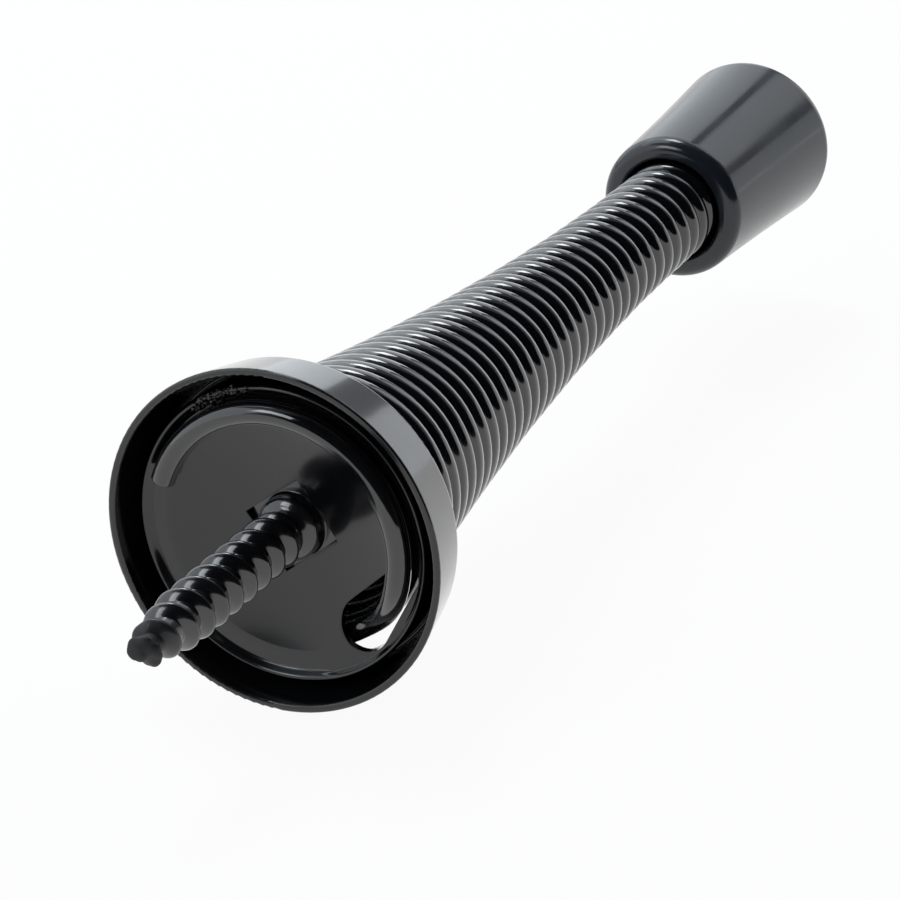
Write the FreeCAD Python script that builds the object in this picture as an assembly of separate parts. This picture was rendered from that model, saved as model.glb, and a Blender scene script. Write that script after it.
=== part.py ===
# Spring door stop: a pressed steel base cup, a flared close-wound spring, a wood screw and a rubber bumper.
# Frame: the wall is the plane x = 0, +X runs out from the wall along the spring, +Z is up. Sizes in millimetres.
import FreeCAD
import Part
import math
import os

V = FreeCAD.Vector
AXIS = V(1, 0, 0)
ORIGIN = V(0, 0, 0)

# spring wire and the laying of its turns
WIRE_D = 1.76
COIL_GAP = 0.055
SEAT_GAP = 0.02
WIRE_GAP = 0.12
POINTS_PER_TURN = 20

# pressed base: skirt, tight fold, boss with a shelf for the wire's end turn
SHEET = 0.55
RIM_R = 12.76
BASE_DEPTH = 5.30
SKIRT_TAPER = 1.11
CHANNEL_W = 0.15
BOSS_DRAFT = 0.05
FACE_CLEAR = 0.07
SHELF_EDGE = 0.92
RIM_ROUND = 0.15
REAR_ROUND = 0.75
FOLD_ROUND = 0.16
EDGE_ROUND = 0.30

# dished face of the boss, with a square hole for the screw
DISH_DROP = 1.35
DISH_INSET = 0.20
DISH_ROUND = 1.20
SEAT_EDGE = 0.15
HOLE_GAP = 0.15
HOLE_TURN = 52.0

# end turn on the shelf, and the drop-shaped slot where the wire climbs through the base; angles in degrees
END_TURN_FROM = 17.0
RAMP_FROM = 186.0
RAMP_TO = 236.0
SLOT_BACK = 12.0
SLOT_TAIL_ON = 3.0
SLOT_INSET = 0.82
SLOT_ROOM = 1.05
SLOT_TAIL_OUT = 0.15
PUNCH_OVER = 1.0

# flare of the spring, from its seat in the base to its straight tip
SPRING_REACH = 74.0
SPRING_TIP_R = 3.95
SIDE_GAP = 1.13
TIP_RUN = 8.0
FLARE_FROM_X = 4.0
FLARE_OVER = 0.30
FLARE_POWER = 1.82

# wood screw, head inside the spring and thread out of the base
HEAD_R = 4.00
HEAD_H = 2.10
CREST_R = 2.06
ROOT_R = 1.42
COLLAR_STEP = 0.30
COLLAR_OUT = 0.90
NECK_RUN = 0.50
THREAD_PITCH = 2.00
THREAD_LAP = 0.10
THREAD_SINK = 0.20
THREAD_TURN = 109.0
CREST_W = 0.44
FOOT_W = 1.24
CREST_SKIM = 0.02
SCREW_REACH = 18.80
TAPER_RUN = 5.60
TIP_R = 1.15
TIP_CORE_R = 0.62
DRIVE_W = 0.90
DRIVE_L = 4.20
DRIVE_DEPTH = 1.20

# rubber bumper, a blind sleeve that widens to its striking face
GRIP_RUN = 6.0
GRIP_GAP = 0.05
SOCKET_END_GAP = 0.40
MOUTH_FLARE = 0.25
MOUTH_DEPTH = 2.60
LIP_W = 1.55
BUMPER_L = 18.1
BUMPER_FAR_R = 6.78
SIDE_HOLLOW = 0.09
FACE_DOME = 0.35
NEAR_ROUND = 1.08
MOUTH_ROUND = 0.25
FAR_ROUND = 1.30

# wire and shelf
WIRE_R = WIRE_D / 2
PITCH = WIRE_D + COIL_GAP
SHELF_X = WIRE_D + SEAT_GAP + FACE_CLEAR
SHELF_BACK_X = SHELF_X + SHEET
FRONT_X = SHELF_X - SEAT_GAP - WIRE_R

# radii of the base, worked inwards from the rim
FLOOR_X = BASE_DEPTH - SHEET
SKIRT_SLOPE = SKIRT_TAPER / BASE_DEPTH
REAR_R = RIM_R - SKIRT_TAPER
FLOOR_R = RIM_R - SKIRT_SLOPE * FLOOR_X - SHEET * math.hypot(1, SKIRT_SLOPE)
BOSS_FOOT_R = FLOOR_R - CHANNEL_W
BOSS_R = BOSS_FOOT_R - BOSS_DRAFT
BOSS_SLOPE = BOSS_DRAFT / (FLOOR_X - SHELF_X)
RECESS_R = BOSS_R + BOSS_SLOPE * SHEET - SHEET * math.hypot(1, BOSS_SLOPE)
RECESS_MOUTH_R = RECESS_R + BOSS_SLOPE * (BASE_DEPTH - SHELF_BACK_X)

# what seats in and on the base
END_TURN_R = BOSS_R - SHELF_EDGE - WIRE_R
SPRING_BASE_R = RECESS_R - SIDE_GAP
DISH_R = END_TURN_R - DISH_INSET
DISH_X = SHELF_X + DISH_DROP
DISH_SPHERE_R = (DISH_R ** 2 + DISH_DROP ** 2) / (2 * DISH_DROP)
SLOT_END_R = WIRE_R + SLOT_ROOM
SLOT_TAIL_END_R = WIRE_R + WIRE_GAP
SEAT_R = HEAD_R + SEAT_EDGE
COLLAR_R = CREST_R + COLLAR_STEP
HOLE_SIDE = 2 * (COLLAR_R + HOLE_GAP)
FLARE_TO_X = SPRING_REACH - TIP_RUN
GRIP_R = SPRING_TIP_R + GRIP_GAP


def dish(radius):
    """Station of the dished face at a radius: a shallow cap, deepest on the axis."""
    return DISH_X - DISH_SPHERE_R + math.sqrt(DISH_SPHERE_R ** 2 - radius ** 2)


# the screw's head and the spring's first coil bear on the back of the dish
HEAD_SEAT_X = dish(SEAT_R) + SHEET
COIL_SEAT_R = SPRING_BASE_R - WIRE_R
COIL_REACH = math.sqrt((DISH_SPHERE_R + WIRE_R + SEAT_GAP) ** 2 - COIL_SEAT_R ** 2)
BACK_X = DISH_X + SHEET - DISH_SPHERE_R + COIL_REACH


def ring_point(x, radius, degrees):
    """Point at a radius and angle round the axis; angles run from +Y towards +Z."""
    a = math.radians(degrees)
    return V(x, radius * math.cos(a), radius * math.sin(a))


def turned(corners, degrees=360.0, start=0.0):
    """Revolve a closed outline of (x, radius) corners about the axis; a longer corner starts an arc by its middle."""
    edges = []
    for a, b in zip(corners, corners[1:] + corners[:1]):
        p = V(a[0], a[1], 0)
        q = V(b[0], b[1], 0)
        if len(a) == 4:
            edges.append(Part.Arc(p, V(a[2], a[3], 0), q).toShape())
        else:
            edges.append(Part.makeLine(p, q))
    face = Part.Face(Part.Wire(edges))
    face.rotate(ORIGIN, AXIS, start)
    solid = face.revolve(ORIGIN, AXIS, degrees)
    if solid.Volume < 0:
        solid.reverse()
    return solid


def rounded(solid, x, radius, size):
    """Round the circular edges that lie at this station and radius."""
    picked = []
    for edge in solid.Edges:
        if edge.Degenerated or not isinstance(edge.Curve, Part.Circle):
            continue
        if abs(edge.Curve.Center.x - x) < 0.02 and abs(edge.Curve.Radius - radius) < 0.02:
            picked.append(edge)
    if not picked:
        raise ValueError("no edge at x %.2f radius %.2f" % (x, radius))
    return solid.makeFillet(size, picked)


def flare(x):
    """Outer radius of the spring at a station: level in the base, a concave flare, then straight at the tip."""
    rest = max(0.0, (FLARE_TO_X - x) / (FLARE_TO_X - FLARE_FROM_X))
    rise = SPRING_BASE_R - SPRING_TIP_R + FLARE_OVER
    return min(SPRING_BASE_R, SPRING_TIP_R + rise * rest ** FLARE_POWER)


def wire_point(turn):
    """Centre of the wire at an angle counted from +Y on through all turns."""
    if turn > RAMP_TO:
        x = BACK_X + PITCH * (turn - RAMP_TO) / 360.0
        return ring_point(x, flare(x) - WIRE_R, turn)
    ramp = RAMP_TO - RAMP_FROM
    u = max(0.0, (turn - RAMP_FROM) / ramp)
    eased = u * u * (3 - 2 * u)
    lead = PITCH * ramp / 360.0
    x = FRONT_X + (BACK_X - FRONT_X) * eased + lead * (u ** 3 - u ** 2)
    radius = END_TURN_R + (COIL_SEAT_R - END_TURN_R) * eased
    return ring_point(x, radius, turn)


def wire_edges(first, last):
    """The wire's centre line between two angles, one edge for each turn."""
    step = int(POINTS_PER_TURN)
    count = max(8, int(round((last - first) / 360.0 * step)))
    points = [wire_point(first + (last - first) * i / count) for i in range(count + 1)]
    curve = Part.BSplineCurve()
    curve.interpolate(points)
    stops = list(range(0, count, step)) + [count]
    if len(stops) > 2 and stops[-1] - stops[-2] < step // 3:
        del stops[-2]
    params = [curve.parameter(points[i]) for i in stops]
    params[0] = curve.FirstParameter
    params[-1] = curve.LastParameter
    return [curve.toShape(a, b) for a, b in zip(params, params[1:])]


def tube(edges, radius):
    """A round wire swept along the edges."""
    start = edges[0].valueAt(edges[0].FirstParameter)
    heading = edges[0].tangentAt(edges[0].FirstParameter)
    section = Part.Wire(Part.makeCircle(radius, start, heading))
    sweep = Part.BRepOffsetAPI.MakePipeShell(Part.Wire(edges))
    sweep.setBiNormalMode(AXIS)
    sweep.add(section)
    sweep.build()
    sweep.makeSolid()
    return sweep.shape()


def make_base():
    """One pressing of sheet: skirt, narrow fold, boss wall, shelf and dished face, then the punched holes."""
    front_mid_r = DISH_R / 2
    back_mid_r = (DISH_R + SEAT_R) / 2
    body = turned([
        (0, RIM_R),
        (0, RIM_R - SHEET),
        (FLOOR_X, FLOOR_R),
        (FLOOR_X, BOSS_FOOT_R),
        (SHELF_X, BOSS_R),
        (SHELF_X, DISH_R, dish(front_mid_r), front_mid_r),
        (DISH_X, 0),
        (HEAD_SEAT_X, 0),
        (HEAD_SEAT_X, SEAT_R, dish(back_mid_r) + SHEET, back_mid_r),
        (SHELF_BACK_X, DISH_R),
        (SHELF_BACK_X, RECESS_R),
        (BASE_DEPTH, RECESS_MOUTH_R),
        (BASE_DEPTH, REAR_R),
    ])
    rim_round = min(RIM_ROUND, 0.4 * SHEET)
    fold_round = min(FOLD_ROUND, 0.45 * CHANNEL_W)
    for x, radius, size in (
        (BASE_DEPTH, REAR_R, REAR_ROUND),
        (BASE_DEPTH, RECESS_MOUTH_R, EDGE_ROUND),
        (0, RIM_R, rim_round),
        (0, RIM_R - SHEET, rim_round),
        (FLOOR_X, FLOOR_R, fold_round),
        (FLOOR_X, BOSS_FOOT_R, fold_round),
        (SHELF_X, BOSS_R, EDGE_ROUND),
        (SHELF_X, DISH_R, DISH_ROUND),
        (SHELF_BACK_X, DISH_R, DISH_ROUND),
    ):
        body = rounded(body, x, radius, size)
    hole = Part.makeBox(BASE_DEPTH, HOLE_SIDE, HOLE_SIDE, V(0, -HOLE_SIDE / 2, -HOLE_SIDE / 2))
    hole.rotate(ORIGIN, AXIS, HOLE_TURN)
    return body.cut(hole).cut(make_slot()).removeSplitter()


def make_slot():
    """Drop-shaped punch through the shelf and the dish, wide enough all along for the wire's climb."""
    wide = ring_point(-PUNCH_OVER, END_TURN_R - SLOT_INSET, RAMP_TO - SLOT_BACK)
    tail = ring_point(-PUNCH_OVER, END_TURN_R + SLOT_TAIL_OUT, RAMP_FROM + SLOT_TAIL_ON)
    span = tail.sub(wide)
    along = V(span).normalize()
    side = AXIS.cross(along)
    lean = math.acos((SLOT_END_R - SLOT_TAIL_END_R) / span.Length)
    out_a = along * math.cos(lean) + side * math.sin(lean)
    out_b = along * math.cos(lean) - side * math.sin(lean)
    corners = [
        wide + out_a * SLOT_END_R,
        tail + out_a * SLOT_TAIL_END_R,
        tail + out_b * SLOT_TAIL_END_R,
        wide + out_b * SLOT_END_R,
    ]
    outline = Part.Wire([
        Part.makeLine(corners[0], corners[1]),
        Part.Arc(corners[1], tail + along * SLOT_TAIL_END_R, corners[2]).toShape(),
        Part.makeLine(corners[2], corners[3]),
        Part.Arc(corners[3], wide - along * SLOT_END_R, corners[0]).toShape(),
    ])
    return Part.Face(outline).extrude(V(BASE_DEPTH + 2 * PUNCH_OVER, 0, 0))


def make_spring():
    """One length of wire: the end turn on the shelf, the climb through the slot and the flared close winding."""
    last = RAMP_TO + 360.0 * (SPRING_REACH - BACK_X) / PITCH
    return tube(wire_edges(END_TURN_FROM, last), WIRE_R)


def make_screw():
    """Round-headed wood screw: domed head, collar in the square hole, coarse thread and blunt point."""
    crown_r = (HEAD_R ** 2 + HEAD_H ** 2) / (2 * HEAD_H)
    half = 0.5 * math.asin(HEAD_R / crown_r)
    top_x = HEAD_SEAT_X + HEAD_H
    collar_x = DISH_X - COLLAR_OUT
    neck_x = collar_x - NECK_RUN
    head = turned([
        (HEAD_SEAT_X, HEAD_R, top_x - crown_r * (1 - math.cos(half)), crown_r * math.sin(half)),
        (top_x, 0),
        (neck_x, 0),
        (neck_x, ROOT_R),
        (collar_x, COLLAR_R),
        (HEAD_SEAT_X, COLLAR_R),
    ])
    for turn in (45, 135):
        blade = Part.makeBox(DRIVE_DEPTH, DRIVE_W, DRIVE_L, V(top_x - DRIVE_DEPTH, -DRIVE_W / 2, -DRIVE_L / 2))
        blade.rotate(ORIGIN, AXIS, turn)
        head = head.cut(blade)
    start_x = -SCREW_REACH - THREAD_PITCH
    taper_x = TAPER_RUN - SCREW_REACH
    foot_r = TIP_CORE_R - THREAD_SINK
    outline = Part.makePolygon([
        V(foot_r, 0, -FOOT_W / 2),
        V(ROOT_R, 0, -FOOT_W / 2),
        V(CREST_R, 0, -CREST_W / 2),
        V(CREST_R, 0, CREST_W / 2),
        V(ROOT_R, 0, FOOT_W / 2),
        V(foot_r, 0, FOOT_W / 2),
        V(foot_r, 0, -FOOT_W / 2),
    ])
    helix = Part.makeHelix(THREAD_PITCH, neck_x + THREAD_LAP - start_x, ROOT_R)
    thread = Part.Wire(helix).makePipeShell([Part.Wire(outline)], True, True)
    thread.rotate(ORIGIN, V(0, 1, 0), 90)
    thread.rotate(ORIGIN, AXIS, THREAD_TURN)
    thread.translate(V(start_x, 0, 0))
    core = turned([
        (collar_x, 0),
        (-SCREW_REACH, 0),
        (-SCREW_REACH, TIP_CORE_R),
        (taper_x, ROOT_R),
        (collar_x, ROOT_R),
    ])
    point = turned([
        (collar_x, 0),
        (-SCREW_REACH, 0),
        (-SCREW_REACH, TIP_R),
        (taper_x, CREST_R + CREST_SKIM),
        (collar_x, CREST_R + CREST_SKIM),
    ])
    return core.fuse(thread).common(point).fuse(head).removeSplitter()


def make_bumper():
    """Moulded sleeve: flared mouth, blind socket on the spring's last turns, widening side and domed face."""
    near_x = SPRING_REACH - GRIP_RUN
    far_x = near_x + BUMPER_L
    stop_x = SPRING_REACH + WIRE_R + SOCKET_END_GAP
    mouth_r = GRIP_R + MOUTH_FLARE
    near_r = mouth_r + LIP_W
    body = turned([
        (near_x, mouth_r),
        (near_x + MOUTH_DEPTH, GRIP_R),
        (stop_x, GRIP_R),
        (stop_x, 0),
        (far_x + FACE_DOME, 0, far_x + 0.75 * FACE_DOME, BUMPER_FAR_R / 2),
        (far_x, BUMPER_FAR_R, (near_x + far_x) / 2, (near_r + BUMPER_FAR_R) / 2 - SIDE_HOLLOW),
        (near_x, near_r),
    ])
    body = rounded(body, far_x, BUMPER_FAR_R, FAR_ROUND)
    body = rounded(body, near_x, near_r, min(NEAR_ROUND, 0.7 * LIP_W))
    return rounded(body, near_x, mouth_r, min(MOUTH_ROUND, 0.25 * LIP_W))


os.makedirs("parts", exist_ok=True)
for name, make in (
    ("mounting_base", make_base),
    ("coil_spring", make_spring),
    ("wood_screw", make_screw),
    ("rubber_bumper", make_bumper),
):
    shape = make()
    if shape.ShapeType != "Solid" and len(shape.Solids) == 1:
        shape = shape.Solids[0]
    print(name, shape.ShapeType, "valid", shape.isValid(), "faces", len(shape.Faces), "volume", round(shape.Volume, 1))
    print("  box", shape.BoundBox)
    shape.exportStep("parts/%s.step" % name)
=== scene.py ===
import bpy
import math
import random
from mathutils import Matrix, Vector, noise


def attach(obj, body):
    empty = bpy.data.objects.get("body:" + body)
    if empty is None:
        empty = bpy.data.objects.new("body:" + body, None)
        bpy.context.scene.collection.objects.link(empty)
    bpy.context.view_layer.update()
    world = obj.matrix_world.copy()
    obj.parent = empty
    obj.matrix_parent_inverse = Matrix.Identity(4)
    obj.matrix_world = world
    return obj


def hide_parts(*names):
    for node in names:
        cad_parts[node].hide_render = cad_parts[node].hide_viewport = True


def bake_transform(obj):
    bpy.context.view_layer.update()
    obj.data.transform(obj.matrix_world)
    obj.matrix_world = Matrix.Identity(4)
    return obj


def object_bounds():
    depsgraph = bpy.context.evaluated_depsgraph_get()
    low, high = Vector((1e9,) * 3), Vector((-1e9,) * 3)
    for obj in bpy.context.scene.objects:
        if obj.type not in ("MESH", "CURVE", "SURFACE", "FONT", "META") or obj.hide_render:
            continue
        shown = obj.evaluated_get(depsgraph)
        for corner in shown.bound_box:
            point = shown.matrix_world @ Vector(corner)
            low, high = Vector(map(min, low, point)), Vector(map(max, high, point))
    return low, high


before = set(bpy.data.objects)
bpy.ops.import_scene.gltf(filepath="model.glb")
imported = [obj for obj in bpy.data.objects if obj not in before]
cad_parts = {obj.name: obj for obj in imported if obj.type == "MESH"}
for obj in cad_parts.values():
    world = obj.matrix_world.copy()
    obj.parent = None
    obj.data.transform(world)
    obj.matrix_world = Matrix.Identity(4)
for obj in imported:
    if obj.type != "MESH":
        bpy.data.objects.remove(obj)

cad_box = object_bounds()

# Mounting base: one pressing of thin steel sheet, punched with a square hole and a drop-shaped slot,
# then dipped with the other metal pieces in thick black gloss enamel that rounds every edge.
BASE_BLACK = (0.0042, 0.0045, 0.0055, 1)
BASE_EDGE_ROUND = 0.00028
PEEL_SIZE = 0.0016
PEEL_DEPTH = 0.000005
PEEL_DETAIL = 1.5
EDGE_SAMPLES = 6
GLOSS_PATCH_SCALE = 170
GLOSS_PATCH_DETAIL = 3
PATCH_LOW = 0.3
PATCH_HIGH = 0.7
ENAMEL_ROUGH_LOW = 0.15
ENAMEL_ROUGH_HIGH = 0.25
UNDER_GLOSS = 0.5
SKIN_WEIGHT = 0.9
SKIN_ROUGH = 0.07
SKIN_IOR = 1.5
BASE_UNDER_GLOSS = 0.2
BASE_SKIN_ROUGH = 0.10
BASE_FILM = 0.02
BASE_SPECKS = 0.5
DUST_GREY = (0.05, 0.053, 0.058, 1)
SPECK_SCALE = 900
SPECK_EDGE = 0.10
SPECK_CORE = 0.03
SPECK_RARE_FROM = 0.93
SPECK_RARE_TO = 0.95
FILM_SCALE = 260
FILM_DETAIL = 5
FILM_LOW = 0.42
FILM_HIGH = 0.75


def new_group(name, inputs, outputs):
    """A shader node group with named sockets; each input is (name, type, default)."""
    group = bpy.data.node_groups.new(name, "ShaderNodeTree")
    for socket, kind, value in inputs:
        made = group.interface.new_socket(socket, in_out="INPUT", socket_type=kind)
        made.default_value = value
    for socket, kind in outputs:
        group.interface.new_socket(socket, in_out="OUTPUT", socket_type=kind)
    ends = group.nodes.new("NodeGroupInput"), group.nodes.new("NodeGroupOutput")
    return group, ends[0].outputs, ends[1].inputs


def noise_at(nodes, link, place, scale, detail):
    """A noise texture node fed by a place; scale is a number or a socket."""
    made = nodes.new("ShaderNodeTexNoise")
    made.inputs["Detail"].default_value = detail
    link(place, made.inputs["Vector"])
    if isinstance(scale, (int, float)):
        made.inputs["Scale"].default_value = scale
    else:
        link(scale, made.inputs["Scale"])
    return made.outputs["Fac"]


def ramped(nodes, link, value, low, high):
    """A smooth step of a value from 0 at low to 1 at high."""
    step = nodes.new("ShaderNodeMapRange")
    step.interpolation_type = "SMOOTHSTEP"
    step.inputs["From Min"].default_value = low
    step.inputs["From Max"].default_value = high
    link(value, step.inputs["Value"])
    return step


def make_enamel_flow():
    """Thick enamel: softened edges, orange peel and uneven gloss, by place on the piece."""
    group, given, made = new_group(
        "enamel_flow",
        [
            ("Edge Round", "NodeSocketFloat", BASE_EDGE_ROUND),
            ("Peel Size", "NodeSocketFloat", PEEL_SIZE),
            ("Peel Depth", "NodeSocketFloat", PEEL_DEPTH),
            ("Rough Low", "NodeSocketFloat", ENAMEL_ROUGH_LOW),
            ("Rough High", "NodeSocketFloat", ENAMEL_ROUGH_HIGH),
        ],
        [("Roughness", "NodeSocketFloat"), ("Normal", "NodeSocketVector")],
    )
    nodes, link = group.nodes, group.links.new
    place = nodes.new("ShaderNodeTexCoord").outputs["Object"]
    per_metre = nodes.new("ShaderNodeMath")
    per_metre.operation = "DIVIDE"
    per_metre.inputs[0].default_value = 1
    link(given["Peel Size"], per_metre.inputs[1])
    edges = nodes.new("ShaderNodeBevel")
    edges.samples = EDGE_SAMPLES
    link(given["Edge Round"], edges.inputs["Radius"])
    bump = nodes.new("ShaderNodeBump")
    link(given["Peel Depth"], bump.inputs["Distance"])
    link(noise_at(nodes, link, place, per_metre.outputs[0], PEEL_DETAIL), bump.inputs["Height"])
    link(edges.outputs["Normal"], bump.inputs["Normal"])
    link(bump.outputs["Normal"], made["Normal"])
    patches = noise_at(nodes, link, place, GLOSS_PATCH_SCALE, GLOSS_PATCH_DETAIL)
    rough = ramped(nodes, link, patches, PATCH_LOW, PATCH_HIGH)
    link(given["Rough Low"], rough.inputs["To Min"])
    link(given["Rough High"], rough.inputs["To Max"])
    link(rough.outputs["Result"], made["Roughness"])
    return group


def make_dust():
    """Fine dust and lint specks: a mask that is 1 on a speck, with a faint film between."""
    group, given, made = new_group(
        "dust",
        [("Film", "NodeSocketFloat", 0.05), ("Specks", "NodeSocketFloat", 1.0)],
        [("Mask", "NodeSocketFloat")],
    )
    nodes, link = group.nodes, group.links.new
    place = nodes.new("ShaderNodeTexCoord").outputs["Object"]
    cells = nodes.new("ShaderNodeTexVoronoi")
    cells.inputs["Scale"].default_value = SPECK_SCALE
    link(place, cells.inputs["Vector"])
    near = ramped(nodes, link, cells.outputs["Distance"], SPECK_EDGE, SPECK_CORE)
    chosen = nodes.new("ShaderNodeSeparateColor")
    link(cells.outputs["Color"], chosen.inputs["Color"])
    few = ramped(nodes, link, chosen.outputs["Red"], SPECK_RARE_FROM, SPECK_RARE_TO)
    speck = nodes.new("ShaderNodeMath")
    speck.operation = "MULTIPLY"
    link(near.outputs["Result"], speck.inputs[0])
    link(few.outputs["Result"], speck.inputs[1])
    scaled = nodes.new("ShaderNodeMath")
    scaled.operation = "MULTIPLY"
    link(speck.outputs[0], scaled.inputs[0])
    link(given["Specks"], scaled.inputs[1])
    haze = noise_at(nodes, link, place, FILM_SCALE, FILM_DETAIL)
    cloud = ramped(nodes, link, haze, FILM_LOW, FILM_HIGH)
    film = nodes.new("ShaderNodeMath")
    film.operation = "MULTIPLY_ADD"
    link(cloud.outputs["Result"], film.inputs[0])
    link(given["Film"], film.inputs[1])
    link(scaled.outputs[0], film.inputs[2])
    film.use_clamp = True
    link(film.outputs[0], made["Mask"])
    return group


enamel_flow = make_enamel_flow()
dust = make_dust()


def new_material(name, colour):
    """A material with one Principled shader; returns it with its nodes, links and shader."""
    material = bpy.data.materials.new(name)
    material.use_nodes = True
    nodes, link = material.node_tree.nodes, material.node_tree.links.new
    shader = nodes["Principled BSDF"]
    shader.inputs["Base Color"].default_value = colour
    material.diffuse_color = colour
    return material, nodes, link, shader


def placed_group(nodes, tree, **values):
    """A group node in a material, with its inputs set by name; underscores stand for spaces."""
    placed = nodes.new("ShaderNodeGroup")
    placed.node_tree = tree
    for name, value in values.items():
        placed.inputs[name.replace("_", " ")].default_value = value
    return placed.outputs


def dusted(nodes, link, shader, colour, dust_colour, mask):
    """Mix the piece's colour with its dust by a mask."""
    mix = nodes.new("ShaderNodeMix")
    mix.data_type = "RGBA"
    mix.inputs["A"].default_value = colour
    mix.inputs["B"].default_value = dust_colour
    link(mask, mix.inputs["Factor"])
    link(mix.outputs["Result"], shader.inputs["Base Color"])


def black_enamel(name, colour, edge_round, film, specks, low=ENAMEL_ROUGH_LOW, high=ENAMEL_ROUGH_HIGH):
    """Black gloss enamel with a clear top skin and a little dust."""
    material, nodes, link, shader = new_material(name, colour)
    shader.inputs["Specular IOR Level"].default_value = UNDER_GLOSS
    shader.inputs["Coat Weight"].default_value = SKIN_WEIGHT
    shader.inputs["Coat Roughness"].default_value = SKIN_ROUGH
    shader.inputs["Coat IOR"].default_value = SKIN_IOR
    flow = placed_group(nodes, enamel_flow, Edge_Round=edge_round, Rough_Low=low, Rough_High=high)
    link(flow["Roughness"], shader.inputs["Roughness"])
    link(flow["Normal"], shader.inputs["Normal"])
    specked = placed_group(nodes, dust, Film=film, Specks=specks)
    dusted(nodes, link, shader, colour, DUST_GREY, specked["Mask"])
    return material, nodes, link, shader


def dress(piece, material):
    """Give a piece its one material."""
    piece.data.materials.clear()
    piece.data.materials.append(material)


def new_piece(name, verts, faces):
    """A smooth-shaded mesh object in the scene."""
    mesh = bpy.data.meshes.new(name)
    mesh.from_pydata(verts, [], faces)
    for face in mesh.polygons:
        face.use_smooth = True
    piece = bpy.data.objects.new(name, mesh)
    bpy.context.scene.collection.objects.link(piece)
    return piece


def ring_point(x, radius, angle):
    """Point at a radius and angle round the axis; angles run from +Y towards +Z."""
    return Vector((x, radius * math.cos(angle), radius * math.sin(angle)))


base_enamel, nodes, link, shader = black_enamel(
    "base_enamel", BASE_BLACK, BASE_EDGE_ROUND, BASE_FILM, BASE_SPECKS
)
shader.inputs["Coat Roughness"].default_value = BASE_SKIN_ROUGH
shader.inputs["Specular IOR Level"].default_value = BASE_UNDER_GLOSS
dress(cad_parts["mounting_base"], base_enamel)

# Shelf lip: the raised outer wall that makes a trough of the base's shelf and keeps the wire's end turn in.
# On the real stop it is pressed in one sheet with the base, and it draws back beside the punched slot.
SHELF_X = 0.00185
LIP_IN_R = 0.01014
LIP_SLOT_IN_R = 0.01042
LIP_OUT_R = 0.01096
LIP_RISE = 0.00045
LIP_SINK = 0.0002
LIP_TOP_FROM = 0.72
LIP_TOP_TO = 0.84
LIP_SLOT_FROM = math.radians(176)
LIP_SLOT_TO = math.radians(246)
LIP_SLOT_BLEND = math.radians(12)
LIP_STEPS = 256
LIP_RINGS = 16


def smooth(a, b, value):
    """Smooth step of a value from 0 at a to 1 at b."""
    u = min(1.0, max(0.0, (value - a) / (b - a)))
    return u * u * (3 - 2 * u)


def lip_inner_r(angle):
    """Inner radius of the lip at an angle, larger beside the slot."""
    opens = smooth(LIP_SLOT_FROM - LIP_SLOT_BLEND, LIP_SLOT_FROM, angle)
    opens *= 1 - smooth(LIP_SLOT_TO, LIP_SLOT_TO + LIP_SLOT_BLEND, angle)
    return LIP_IN_R + (LIP_SLOT_IN_R - LIP_IN_R) * opens


def lip_rise(radius, angle):
    """Height of the lip over the shelf at a place."""
    share = (radius - lip_inner_r(angle)) / (LIP_OUT_R - lip_inner_r(angle))
    return LIP_RISE * smooth(0.0, LIP_TOP_FROM, share) * (1 - smooth(LIP_TOP_TO, 1.0, share))


verts, faces = [], []
for step in range(LIP_STEPS):
    angle = math.tau * step / LIP_STEPS
    inner = lip_inner_r(angle)
    verts.append(ring_point(SHELF_X + LIP_SINK, inner, angle))
    for ring in range(LIP_RINGS + 1):
        radius = inner + (LIP_OUT_R - inner) * ring / LIP_RINGS
        verts.append(ring_point(SHELF_X - lip_rise(radius, angle), radius, angle))
    verts.append(ring_point(SHELF_X + LIP_SINK, LIP_OUT_R, angle))
around = LIP_RINGS + 3
for step in range(LIP_STEPS):
    for ring in range(around):
        a, b = step * around + ring, step * around + (ring + 1) % around
        ahead = (step + 1) % LIP_STEPS * around
        faces.append((a, ahead + ring, ahead + (ring + 1) % around, b))
shelf_lip = new_piece("shelf_lip", verts, faces)
dress(shelf_lip, base_enamel)
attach(shelf_lip, "base")

# Paint blisters: a patch of small bubbles that the black enamel formed as it cured,
# on the lip near the top of the base.
BLISTER_COUNT = 110
BLISTER_FROM = math.radians(48)
BLISTER_TO = math.radians(80)
BLISTER_IN_R = 0.01022
BLISTER_OUT_R = 0.01092
BLISTER_SMALL = 0.00006
BLISTER_LARGE = 0.00024
BLISTER_SIDES = 10
BLISTER_RINGS = 4
BLISTER_SINK = 0.1
BLISTER_FLAT = 0.5
BLISTER_TALL = 0.9
BLISTER_SEED = 7
random.seed(BLISTER_SEED)


def blister(centre, radius, height, verts, faces):
    """A low dome on the lip, added to the lists, with its skirt sunk just under the surface."""
    first = len(verts)
    for ring in range(BLISTER_RINGS):
        lift = math.pi / 2 * ring / BLISTER_RINGS
        for side in range(BLISTER_SIDES):
            turn = math.tau * side / BLISTER_SIDES
            wide = radius * math.cos(lift)
            rise = -height * math.sin(lift) + BLISTER_SINK * height
            verts.append(centre + ring_point(rise, wide, turn))
    verts.append(centre - Vector(((1 - BLISTER_SINK) * height, 0, 0)))
    for ring in range(BLISTER_RINGS - 1):
        for side in range(BLISTER_SIDES):
            a = first + ring * BLISTER_SIDES + side
            b = first + ring * BLISTER_SIDES + (side + 1) % BLISTER_SIDES
            faces.append((a, a + BLISTER_SIDES, b + BLISTER_SIDES, b))
    last = first + (BLISTER_RINGS - 1) * BLISTER_SIDES
    for side in range(BLISTER_SIDES):
        faces.append((last + side, len(verts) - 1, last + (side + 1) % BLISTER_SIDES))
    faces.append(tuple(first + side for side in range(BLISTER_SIDES)))


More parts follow.
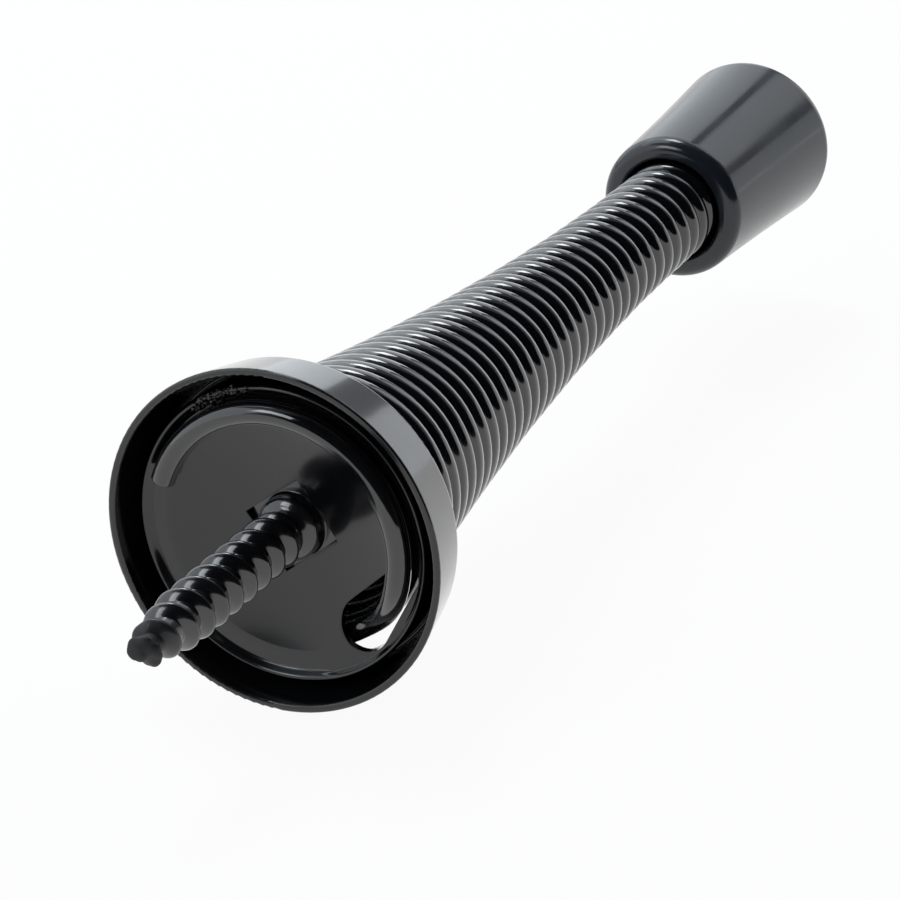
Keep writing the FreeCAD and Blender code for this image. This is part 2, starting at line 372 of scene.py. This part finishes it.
verts, faces = [], []
for _ in range(BLISTER_COUNT):
    share = 0.5 * (random.random() + random.random())
    angle = BLISTER_FROM + (BLISTER_TO - BLISTER_FROM) * share
    out_r = BLISTER_IN_R + (BLISTER_OUT_R - BLISTER_IN_R) * random.random()
    size = BLISTER_SMALL + (BLISTER_LARGE - BLISTER_SMALL) * random.random() ** 2
    seat_x = SHELF_X - lip_rise(out_r, angle)
    height = size * random.uniform(BLISTER_FLAT, BLISTER_TALL)
    blister(ring_point(seat_x, out_r, angle), size, height, verts, faces)
paint_blisters = new_piece("paint_blisters", verts, faces)
dress(paint_blisters, base_enamel)
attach(paint_blisters, "base")

# Coil spring: one length of hard-drawn wire, wound close on a flared mandrel and enamelled after winding.
# Its end turn lies on the base's shelf and threads through the slot; the last turns sit in the bumper.
SPRING_BLACK = (0.0045, 0.0048, 0.0058, 1)
WIRE_R = 0.00088
COIL_PITCH = 0.001815
END_TURN_X = 0.00095
END_TURN_R = 0.0092033
SEAT_X = 0.0034984
SEAT_COIL_R = 0.0093327
TIP_COIL_R = 0.00395
FLARE_FROM_X = 0.004
FLARE_TO_X = 0.066
FLARE_OVER = 0.0003
FLARE_POWER = 1.82
SPRING_REACH = 0.074
END_TURN_FROM = math.radians(17)
RAMP_FROM = math.radians(186)
RAMP_TO = math.radians(236)
STEPS_PER_TURN = 64
WIRE_SIDES = 20
END_ROUND = 0.00022
END_RINGS = 5
UNEVEN = 0.00003
UNEVEN_RATE = 0.7
UNEVEN_ROW = (0.3, 0.1)
SPRING_FILM = 0.02
SPRING_SPECKS = 0.5
SPRING_ROUGH_LOW = 0.07
SPRING_ROUGH_HIGH = 0.15


def coil_outer_r(x):
    """Outer radius of the winding at a station along the axis."""
    rest = max(0.0, (FLARE_TO_X - x) / (FLARE_TO_X - FLARE_FROM_X))
    rise = SEAT_COIL_R - TIP_COIL_R + FLARE_OVER
    return min(SEAT_COIL_R, TIP_COIL_R + rise * rest ** FLARE_POWER)


def wire_centre(turn):
    """Centre of the wire at an angle counted from +Y on through all turns."""
    if turn > RAMP_TO:
        x = SEAT_X + COIL_PITCH * (turn - RAMP_TO) / math.tau
        free = min(1.0, (turn - RAMP_TO) / math.tau) * min(1.0, max(0.0, FLARE_TO_X - x) / COIL_PITCH)
        sway = noise.noise(Vector((turn * UNEVEN_RATE, *UNEVEN_ROW)))
        return ring_point(x, coil_outer_r(x) - WIRE_R + free * UNEVEN * sway, turn)
    ramp = RAMP_TO - RAMP_FROM
    u = max(0.0, (turn - RAMP_FROM) / ramp)
    eased = u * u * (3 - 2 * u)
    lead = COIL_PITCH * ramp / math.tau
    x = END_TURN_X + (SEAT_X - END_TURN_X) * eased + lead * (u ** 3 - u ** 2)
    return ring_point(x, END_TURN_R + (SEAT_COIL_R - WIRE_R - END_TURN_R) * eased, turn)


def swept_wire(name, turns):
    """Tube mesh along the wire's centre line, with its sheared ends rounded by the paint."""
    verts, faces = [], []
    centres = [wire_centre(turn) for turn in turns]
    sections = []
    for i, centre in enumerate(centres):
        heading = (centres[min(i + 1, len(centres) - 1)] - centres[max(i - 1, 0)]).normalized()
        sections.append((centre, heading, WIRE_R))
    for place, way in ((0, -1), (-1, 1)):
        centre, heading, _ = sections[place]
        cap = []
        for k in range(1, END_RINGS + 1):
            bend = math.pi / 2 * k / END_RINGS
            ahead = centre + heading * (way * END_ROUND * math.sin(bend))
            cap.append((ahead, heading, WIRE_R - END_ROUND * (1 - math.cos(bend))))
        sections = cap[::-1] + sections if way < 0 else sections + cap
    for centre, heading, radius in sections:
        side = heading.cross(Vector((0, centre.y, centre.z))).normalized()
        out = side.cross(heading)
        for k in range(WIRE_SIDES):
            a = math.tau * k / WIRE_SIDES
            verts.append(centre + radius * (math.cos(a) * out + math.sin(a) * side))
    for i in range(len(sections) - 1):
        for k in range(WIRE_SIDES):
            a, b = i * WIRE_SIDES + k, i * WIRE_SIDES + (k + 1) % WIRE_SIDES
            faces.append((a, b, b + WIRE_SIDES, a + WIRE_SIDES))
    last = (len(sections) - 1) * WIRE_SIDES
    faces.append(tuple(reversed(range(WIRE_SIDES))))
    faces.append(tuple(range(last, last + WIRE_SIDES)))
    return new_piece(name, verts, faces)


end_turn = RAMP_TO + math.tau * (SPRING_REACH - SEAT_X) / COIL_PITCH
step_count = round((end_turn - END_TURN_FROM) / math.tau * STEPS_PER_TURN)
wound_spring = swept_wire(
    "wound_spring",
    [END_TURN_FROM + (end_turn - END_TURN_FROM) * i / step_count for i in range(step_count + 1)],
)
spring_enamel, nodes, link, shader = black_enamel(
    "spring_enamel", SPRING_BLACK, 0.0, SPRING_FILM, SPRING_SPECKS, SPRING_ROUGH_LOW, SPRING_ROUGH_HIGH
)
dress(wound_spring, spring_enamel)
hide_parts("coil_spring")
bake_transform(wound_spring)

# Wood screw: cold-headed steel with a rolled coarse thread and a blunt point, enamelled with the base,
# so that the paint rounds its crests, fills its grooves and clots on the point.
SCREW_BLACK = (0.0052, 0.0055, 0.0065, 1)
SCREW_TIP_X = -0.0188
TAPER_X = -0.0132
CREST_R = 0.00206
ROOT_R = 0.00134
TIP_CREST_R = 0.00115
TIP_CORE_R = 0.00055
THREAD_PITCH = 0.002
THREAD_TURN = math.radians(109)
THREAD_START_X = SCREW_TIP_X - THREAD_PITCH
CREST_HALF = 0.31
COLLAR_X = 0.0023
COLLAR_R = 0.00236
NECK_RUN = 0.0005
HEAD_SEAT_X = 0.0034682
HEAD_R = 0.004
HEAD_H = 0.0021
DRIVE_W = 0.0009
DRIVE_L = 0.0042
DRIVE_DEPTH = 0.0012
SCREW_SIDES = 96
RINGS_PER_PITCH = 48
POINT_ROUND = 0.0004
CLOT_FROM_X = -0.0155
CLOT_SIZE = 0.0008
CLOT_DEPTH = 0.22
RUN_OUT_SHARE = 0.4
POINT_BLUNT = 0.8
HEAD_SOFT = 0.00012
HEAD_RINGS = 40
DRIVE_EDGE_FROM = 0.42
DRIVE_END_TO = 0.5
DRIVE_SIDE_TO = 0.58
SCREW_FILM = 0.08
SCREW_SPECKS = 0.3
POINT_DULL_FROM = -0.0145
POINT_DULL_TO = -0.0175
POINT_ROUGH = 0.62


def thread_radius(x, angle):
    """Radius of the screw's threaded part, with a round crest that runs out at the neck."""
    taper = min(1.0, (x - SCREW_TIP_X) / (TAPER_X - SCREW_TIP_X))
    core = TIP_CORE_R + (ROOT_R - TIP_CORE_R) * taper
    crest = TIP_CREST_R + (CREST_R - TIP_CREST_R) * taper
    turns = (x - THREAD_START_X) / THREAD_PITCH - (angle + math.pi / 2 - THREAD_TURN) / math.tau
    off = abs(turns - round(turns))
    lump = math.cos(math.pi / 2 * min(1.0, off / CREST_HALF))
    neck_x = COLLAR_X - NECK_RUN
    lump *= 1 - smooth(neck_x - RUN_OUT_SHARE * THREAD_PITCH, neck_x, x)
    back = max(0.0, 1 - (x - SCREW_TIP_X) / POINT_ROUND)
    radius = (core + (crest - core) * lump) * math.sqrt(1 - POINT_BLUNT * back * back)
    lumps = noise.noise(ring_point(x, radius, angle) / CLOT_SIZE)
    return radius * (1 + CLOT_DEPTH * smooth(CLOT_FROM_X, SCREW_TIP_X, x) * lumps)


def drive_sink(y, z):
    """Depth of the cross recess at a place on the head."""
    along, across = (y + z) / math.sqrt(2), (y - z) / math.sqrt(2)
    arms = []
    for length, width in ((along, across), (across, along)):
        arms.append(
            (1 - smooth(DRIVE_EDGE_FROM * DRIVE_L, DRIVE_END_TO * DRIVE_L, abs(length)))
            * (1 - smooth(DRIVE_EDGE_FROM * DRIVE_W, DRIVE_SIDE_TO * DRIVE_W, abs(width)))
        )
    return DRIVE_DEPTH * max(arms)


def make_screw():
    """Rings from the point up the thread, over the collar and under the head, to the top of the head."""
    rings = []
    neck_x = COLLAR_X - NECK_RUN
    count = round((neck_x - SCREW_TIP_X) / THREAD_PITCH * RINGS_PER_PITCH)
    angles = [math.tau * k / SCREW_SIDES for k in range(SCREW_SIDES)]
    for i in range(count + 1):
        x = SCREW_TIP_X + (neck_x - SCREW_TIP_X) * i / count
        rings.append([ring_point(x, thread_radius(x, a), a) for a in angles])
    soft = HEAD_SOFT
    outline = [
        (neck_x + 0.5 * NECK_RUN, 0.5 * (ROOT_R + COLLAR_R)),
        (COLLAR_X - soft, COLLAR_R - 2 * soft),
        (COLLAR_X + 0.3 * soft, COLLAR_R - 0.4 * soft),
        (COLLAR_X + 1.5 * soft, COLLAR_R),
        (HEAD_SEAT_X, COLLAR_R),
        (HEAD_SEAT_X, COLLAR_R + soft),
        (HEAD_SEAT_X, HEAD_R - soft),
        (HEAD_SEAT_X + 0.3 * soft, HEAD_R - 0.3 * soft),
    ]
    for x, radius in outline:
        rings.append([ring_point(x, radius, a) for a in angles])
    crown_r = (HEAD_R ** 2 + HEAD_H ** 2) / (2 * HEAD_H)
    for i in range(1, HEAD_RINGS):
        radius = HEAD_R * (1 - i / HEAD_RINGS)
        x = HEAD_SEAT_X + HEAD_H - crown_r + math.sqrt(crown_r ** 2 - radius ** 2)
        ring = []
        for a in angles:
            point = ring_point(x, radius, a)
            sunk = max(HEAD_SEAT_X + HEAD_H - DRIVE_DEPTH, point.x - drive_sink(point.y, point.z))
            point.x = min(point.x, sunk)
            ring.append(point)
        rings.append(ring)
    verts = [point for ring in rings for point in ring]
    faces = []
    for i in range(len(rings) - 1):
        for k in range(SCREW_SIDES):
            a, b = i * SCREW_SIDES + k, i * SCREW_SIDES + (k + 1) % SCREW_SIDES
            faces.append((a, b, b + SCREW_SIDES, a + SCREW_SIDES))
    for first, top in ((0, False), ((len(rings) - 1) * SCREW_SIDES, True)):
        middle = sum(verts[first:first + SCREW_SIDES], Vector()) / SCREW_SIDES
        verts.append(middle)
        for k in range(SCREW_SIDES):
            a, b = first + k, first + (k + 1) % SCREW_SIDES
            faces.append((a, b, len(verts) - 1) if top else (b, a, len(verts) - 1))
    return new_piece("threaded_screw", verts, faces)


threaded_screw = make_screw()
screw_enamel, nodes, link, shader = black_enamel(
    "screw_enamel", SCREW_BLACK, 0.0, SCREW_FILM, SCREW_SPECKS
)
spot = nodes.new("ShaderNodeSeparateXYZ")
link(nodes.new("ShaderNodeTexCoord").outputs["Object"], spot.inputs["Vector"])
dull = ramped(nodes, link, spot.outputs["X"], POINT_DULL_FROM, POINT_DULL_TO)
dull_rough = nodes.new("ShaderNodeMix")
dull_rough.inputs["B"].default_value = POINT_ROUGH
link(dull.outputs["Result"], dull_rough.inputs["Factor"])
link(shader.inputs["Roughness"].links[0].from_socket, dull_rough.inputs["A"])
link(dull_rough.outputs["Result"], shader.inputs["Roughness"])
skin = nodes.new("ShaderNodeMath")
skin.operation = "MULTIPLY_ADD"
skin.inputs[1].default_value = -SKIN_WEIGHT
skin.inputs[2].default_value = SKIN_WEIGHT
link(dull.outputs["Result"], skin.inputs[0])
link(skin.outputs[0], shader.inputs["Coat Weight"])
dress(threaded_screw, screw_enamel)
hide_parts("wood_screw")
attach(threaded_screw, "base")

# Rubber bumper: one moulding of blue-black rubber, smooth from the mould with a soft shine.
# It is pushed over the spring's last turns and stays on by its own grip.
BUMPER_GREY = (0.016, 0.0205, 0.027, 1)
RUBBER_DUST = (0.045, 0.05, 0.056, 1)
RUBBER_GLOSS = 0.55
RUBBER_PATCH_SCALE = 140
RUBBER_PATCH_DETAIL = 4
RUBBER_ROUGH_LOW = 0.13
RUBBER_ROUGH_HIGH = 0.20
RUBBER_GRAIN_SCALE = 2600
RUBBER_GRAIN_DETAIL = 3
RUBBER_GRAIN_DEPTH = 0.000003
RUBBER_FILM = 0.06
RUBBER_SPECKS = 0.4


def make_rubber():
    """Blue-black rubber with a moulded satin skin, faint mottling and a trace of dust."""
    material, nodes, link, shader = new_material("bumper_rubber", BUMPER_GREY)
    shader.inputs["Specular IOR Level"].default_value = RUBBER_GLOSS
    place = nodes.new("ShaderNodeTexCoord").outputs["Object"]
    patches = noise_at(nodes, link, place, RUBBER_PATCH_SCALE, RUBBER_PATCH_DETAIL)
    rough = ramped(nodes, link, patches, PATCH_LOW, PATCH_HIGH)
    rough.inputs["To Min"].default_value = RUBBER_ROUGH_LOW
    rough.inputs["To Max"].default_value = RUBBER_ROUGH_HIGH
    link(rough.outputs["Result"], shader.inputs["Roughness"])
    bump = nodes.new("ShaderNodeBump")
    bump.inputs["Distance"].default_value = RUBBER_GRAIN_DEPTH
    grain = noise_at(nodes, link, place, RUBBER_GRAIN_SCALE, RUBBER_GRAIN_DETAIL)
    link(grain, bump.inputs["Height"])
    link(bump.outputs["Normal"], shader.inputs["Normal"])
    specked = placed_group(nodes, dust, Film=RUBBER_FILM, Specks=RUBBER_SPECKS)
    dusted(nodes, link, shader, BUMPER_GREY, RUBBER_DUST, specked["Mask"])
    return material


dress(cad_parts["rubber_bumper"], make_rubber())

# Floor: white paper that runs past the view, just under the part.
# It is white to the camera and in the enamel's reflections, and still takes the part's shadow.
FLOOR_GAP = 0.0002
FLOOR_Z = cad_box[0].z - FLOOR_GAP
FLOOR_REACH = 6.0
FLOOR_WHITE = (0.9, 0.9, 0.9, 1)
FLOOR_ROUGH = 0.9
FLOOR_GLOW_SHARE = 0.94
corners = [(-1, -1), (1, -1), (1, 1), (-1, 1)]
verts = [(x * FLOOR_REACH, y * FLOOR_REACH, FLOOR_Z) for x, y in corners]
floor = new_piece("floor", verts, [(0, 1, 2, 3)])
floor_paper, nodes, link, shader = new_material("floor_paper", FLOOR_WHITE)
shader.inputs["Roughness"].default_value = FLOOR_ROUGH
shader.inputs["Specular IOR Level"].default_value = 0
path = nodes.new("ShaderNodeLightPath")
seen = nodes.new("ShaderNodeMath")
seen.operation = "MAXIMUM"
link(path.outputs["Is Camera Ray"], seen.inputs[0])
link(path.outputs["Is Glossy Ray"], seen.inputs[1])
seen_all = nodes.new("ShaderNodeMath")
seen_all.operation = "MAXIMUM"
link(seen.outputs[0], seen_all.inputs[0])
link(path.outputs["Is Transmission Ray"], seen_all.inputs[1])
share = nodes.new("ShaderNodeMath")
share.operation = "MULTIPLY"
share.inputs[1].default_value = FLOOR_GLOW_SHARE
link(seen_all.outputs[0], share.inputs[0])
glow = nodes.new("ShaderNodeEmission")
mixed = nodes.new("ShaderNodeMixShader")
link(share.outputs[0], mixed.inputs["Fac"])
link(shader.outputs["BSDF"], mixed.inputs[1])
link(glow.outputs["Emission"], mixed.inputs[2])
link(mixed.outputs["Shader"], nodes["Material Output"].inputs["Surface"])
dress(floor, floor_paper)

# Tent: pale cloth round the set, open and dark on the camera's side,
# so that the black enamel has both pale and dark to show.
TENT_WHITE = (0.30, 0.315, 0.34, 1)
TENT_OPEN = (0.012, 0.012, 0.014, 1)
OPEN_TOWARDS = Vector((-0.62, -0.72, 0.3))
OPEN_INNER = 0.42
OPEN_OUTER = 0.20
world = bpy.data.worlds.new("studio")
world.use_nodes = True
nodes, link = world.node_tree.nodes, world.node_tree.links.new
towards = nodes.new("ShaderNodeVectorMath")
towards.operation = "DOT_PRODUCT"
link(nodes.new("ShaderNodeTexCoord").outputs["Generated"], towards.inputs[0])
towards.inputs[1].default_value = OPEN_TOWARDS.normalized()
opening = ramped(nodes, link, towards.outputs["Value"], OPEN_OUTER, OPEN_INNER)
tent = nodes.new("ShaderNodeMix")
tent.data_type = "RGBA"
tent.inputs["A"].default_value = TENT_WHITE
tent.inputs["B"].default_value = TENT_OPEN
link(opening.outputs["Result"], tent.inputs["Factor"])
link(tent.outputs["Result"], nodes["Background"].inputs["Color"])
bpy.context.scene.world = world

# Lamps: soft boxes round the set, each given by its direction from the part, its distance and its size.
# The two brightest are small, and draw the thin lines on the wire and the lip.
LIT_POINT = Vector((0.035, 0, 0))
COOL_LIGHT = (0.9, 0.96, 1.0)


def add_soft_box(name, azimuth, elevation, distance, width, height, radiance):
    """Area lamp that faces the object; azimuth is from +X towards +Y, radiance is its own brightness."""
    a, e = math.radians(azimuth), math.radians(elevation)
    out = Vector((math.cos(a) * math.cos(e), math.sin(a) * math.cos(e), math.sin(e)))
    data = bpy.data.lights.new(name, "AREA")
    data.shape = "RECTANGLE"
    data.size = width
    data.size_y = height
    data.energy = radiance * math.pi * width * height
    data.color = COOL_LIGHT
    lamp = bpy.data.objects.new(name, data)
    lamp.location = LIT_POINT + out * distance
    lamp.rotation_mode = "QUATERNION"
    lamp.rotation_quaternion = out.to_track_quat("Z", "Y")
    lamp.visible_camera = False
    bpy.context.scene.collection.objects.link(lamp)


add_soft_box("back_left", 30, 30, 0.8, 0.50, 0.92, 1.1)
add_soft_box("back_right", -14, 30, 0.8, 0.36, 0.92, 1.1)
add_soft_box("side_right", -42, 4, 0.8, 0.45, 0.30, 0.7)
add_soft_box("left_box", 70, 20, 0.8, 0.55, 0.5, 1.3)
add_soft_box("front_left", 122, 18, 0.9, 0.92, 0.72, 1.0)
add_soft_box("top_left", 53, 66, 0.8, 0.20, 0.24, 10.0)
add_soft_box("lip_light", 152, 32, 0.9, 0.28, 0.30, 4.0)
add_soft_box("top_panel", 78, 52, 0.8, 0.60, 0.46, 2.0)

# Camera: a long lens at the photographed angle, on the screw's side and a little above the part.
# Its place and aim were fitted to the picture, in metres in the part's frame.
CAMERA_AT = Vector((-0.271644, -0.144084, 0.146448))
CAMERA_AIM = Vector((0.015585, -0.005999, 0.001768))
CAMERA_LENS = 200
CAMERA_SENSOR = 36
CAMERA_CLIP = 0.01
camera_data = bpy.data.cameras.new("camera")
camera_data.lens = CAMERA_LENS
camera_data.sensor_width = CAMERA_SENSOR
camera_data.clip_start = CAMERA_CLIP
camera = bpy.data.objects.new("camera", camera_data)
camera.location = CAMERA_AT
camera.rotation_mode = "QUATERNION"
camera.rotation_quaternion = (CAMERA_AIM - CAMERA_AT).to_track_quat("-Z", "Y")
bpy.context.scene.collection.objects.link(camera)
bpy.context.scene.camera = camera
bpy.context.scene.view_settings.view_transform = "Standard"
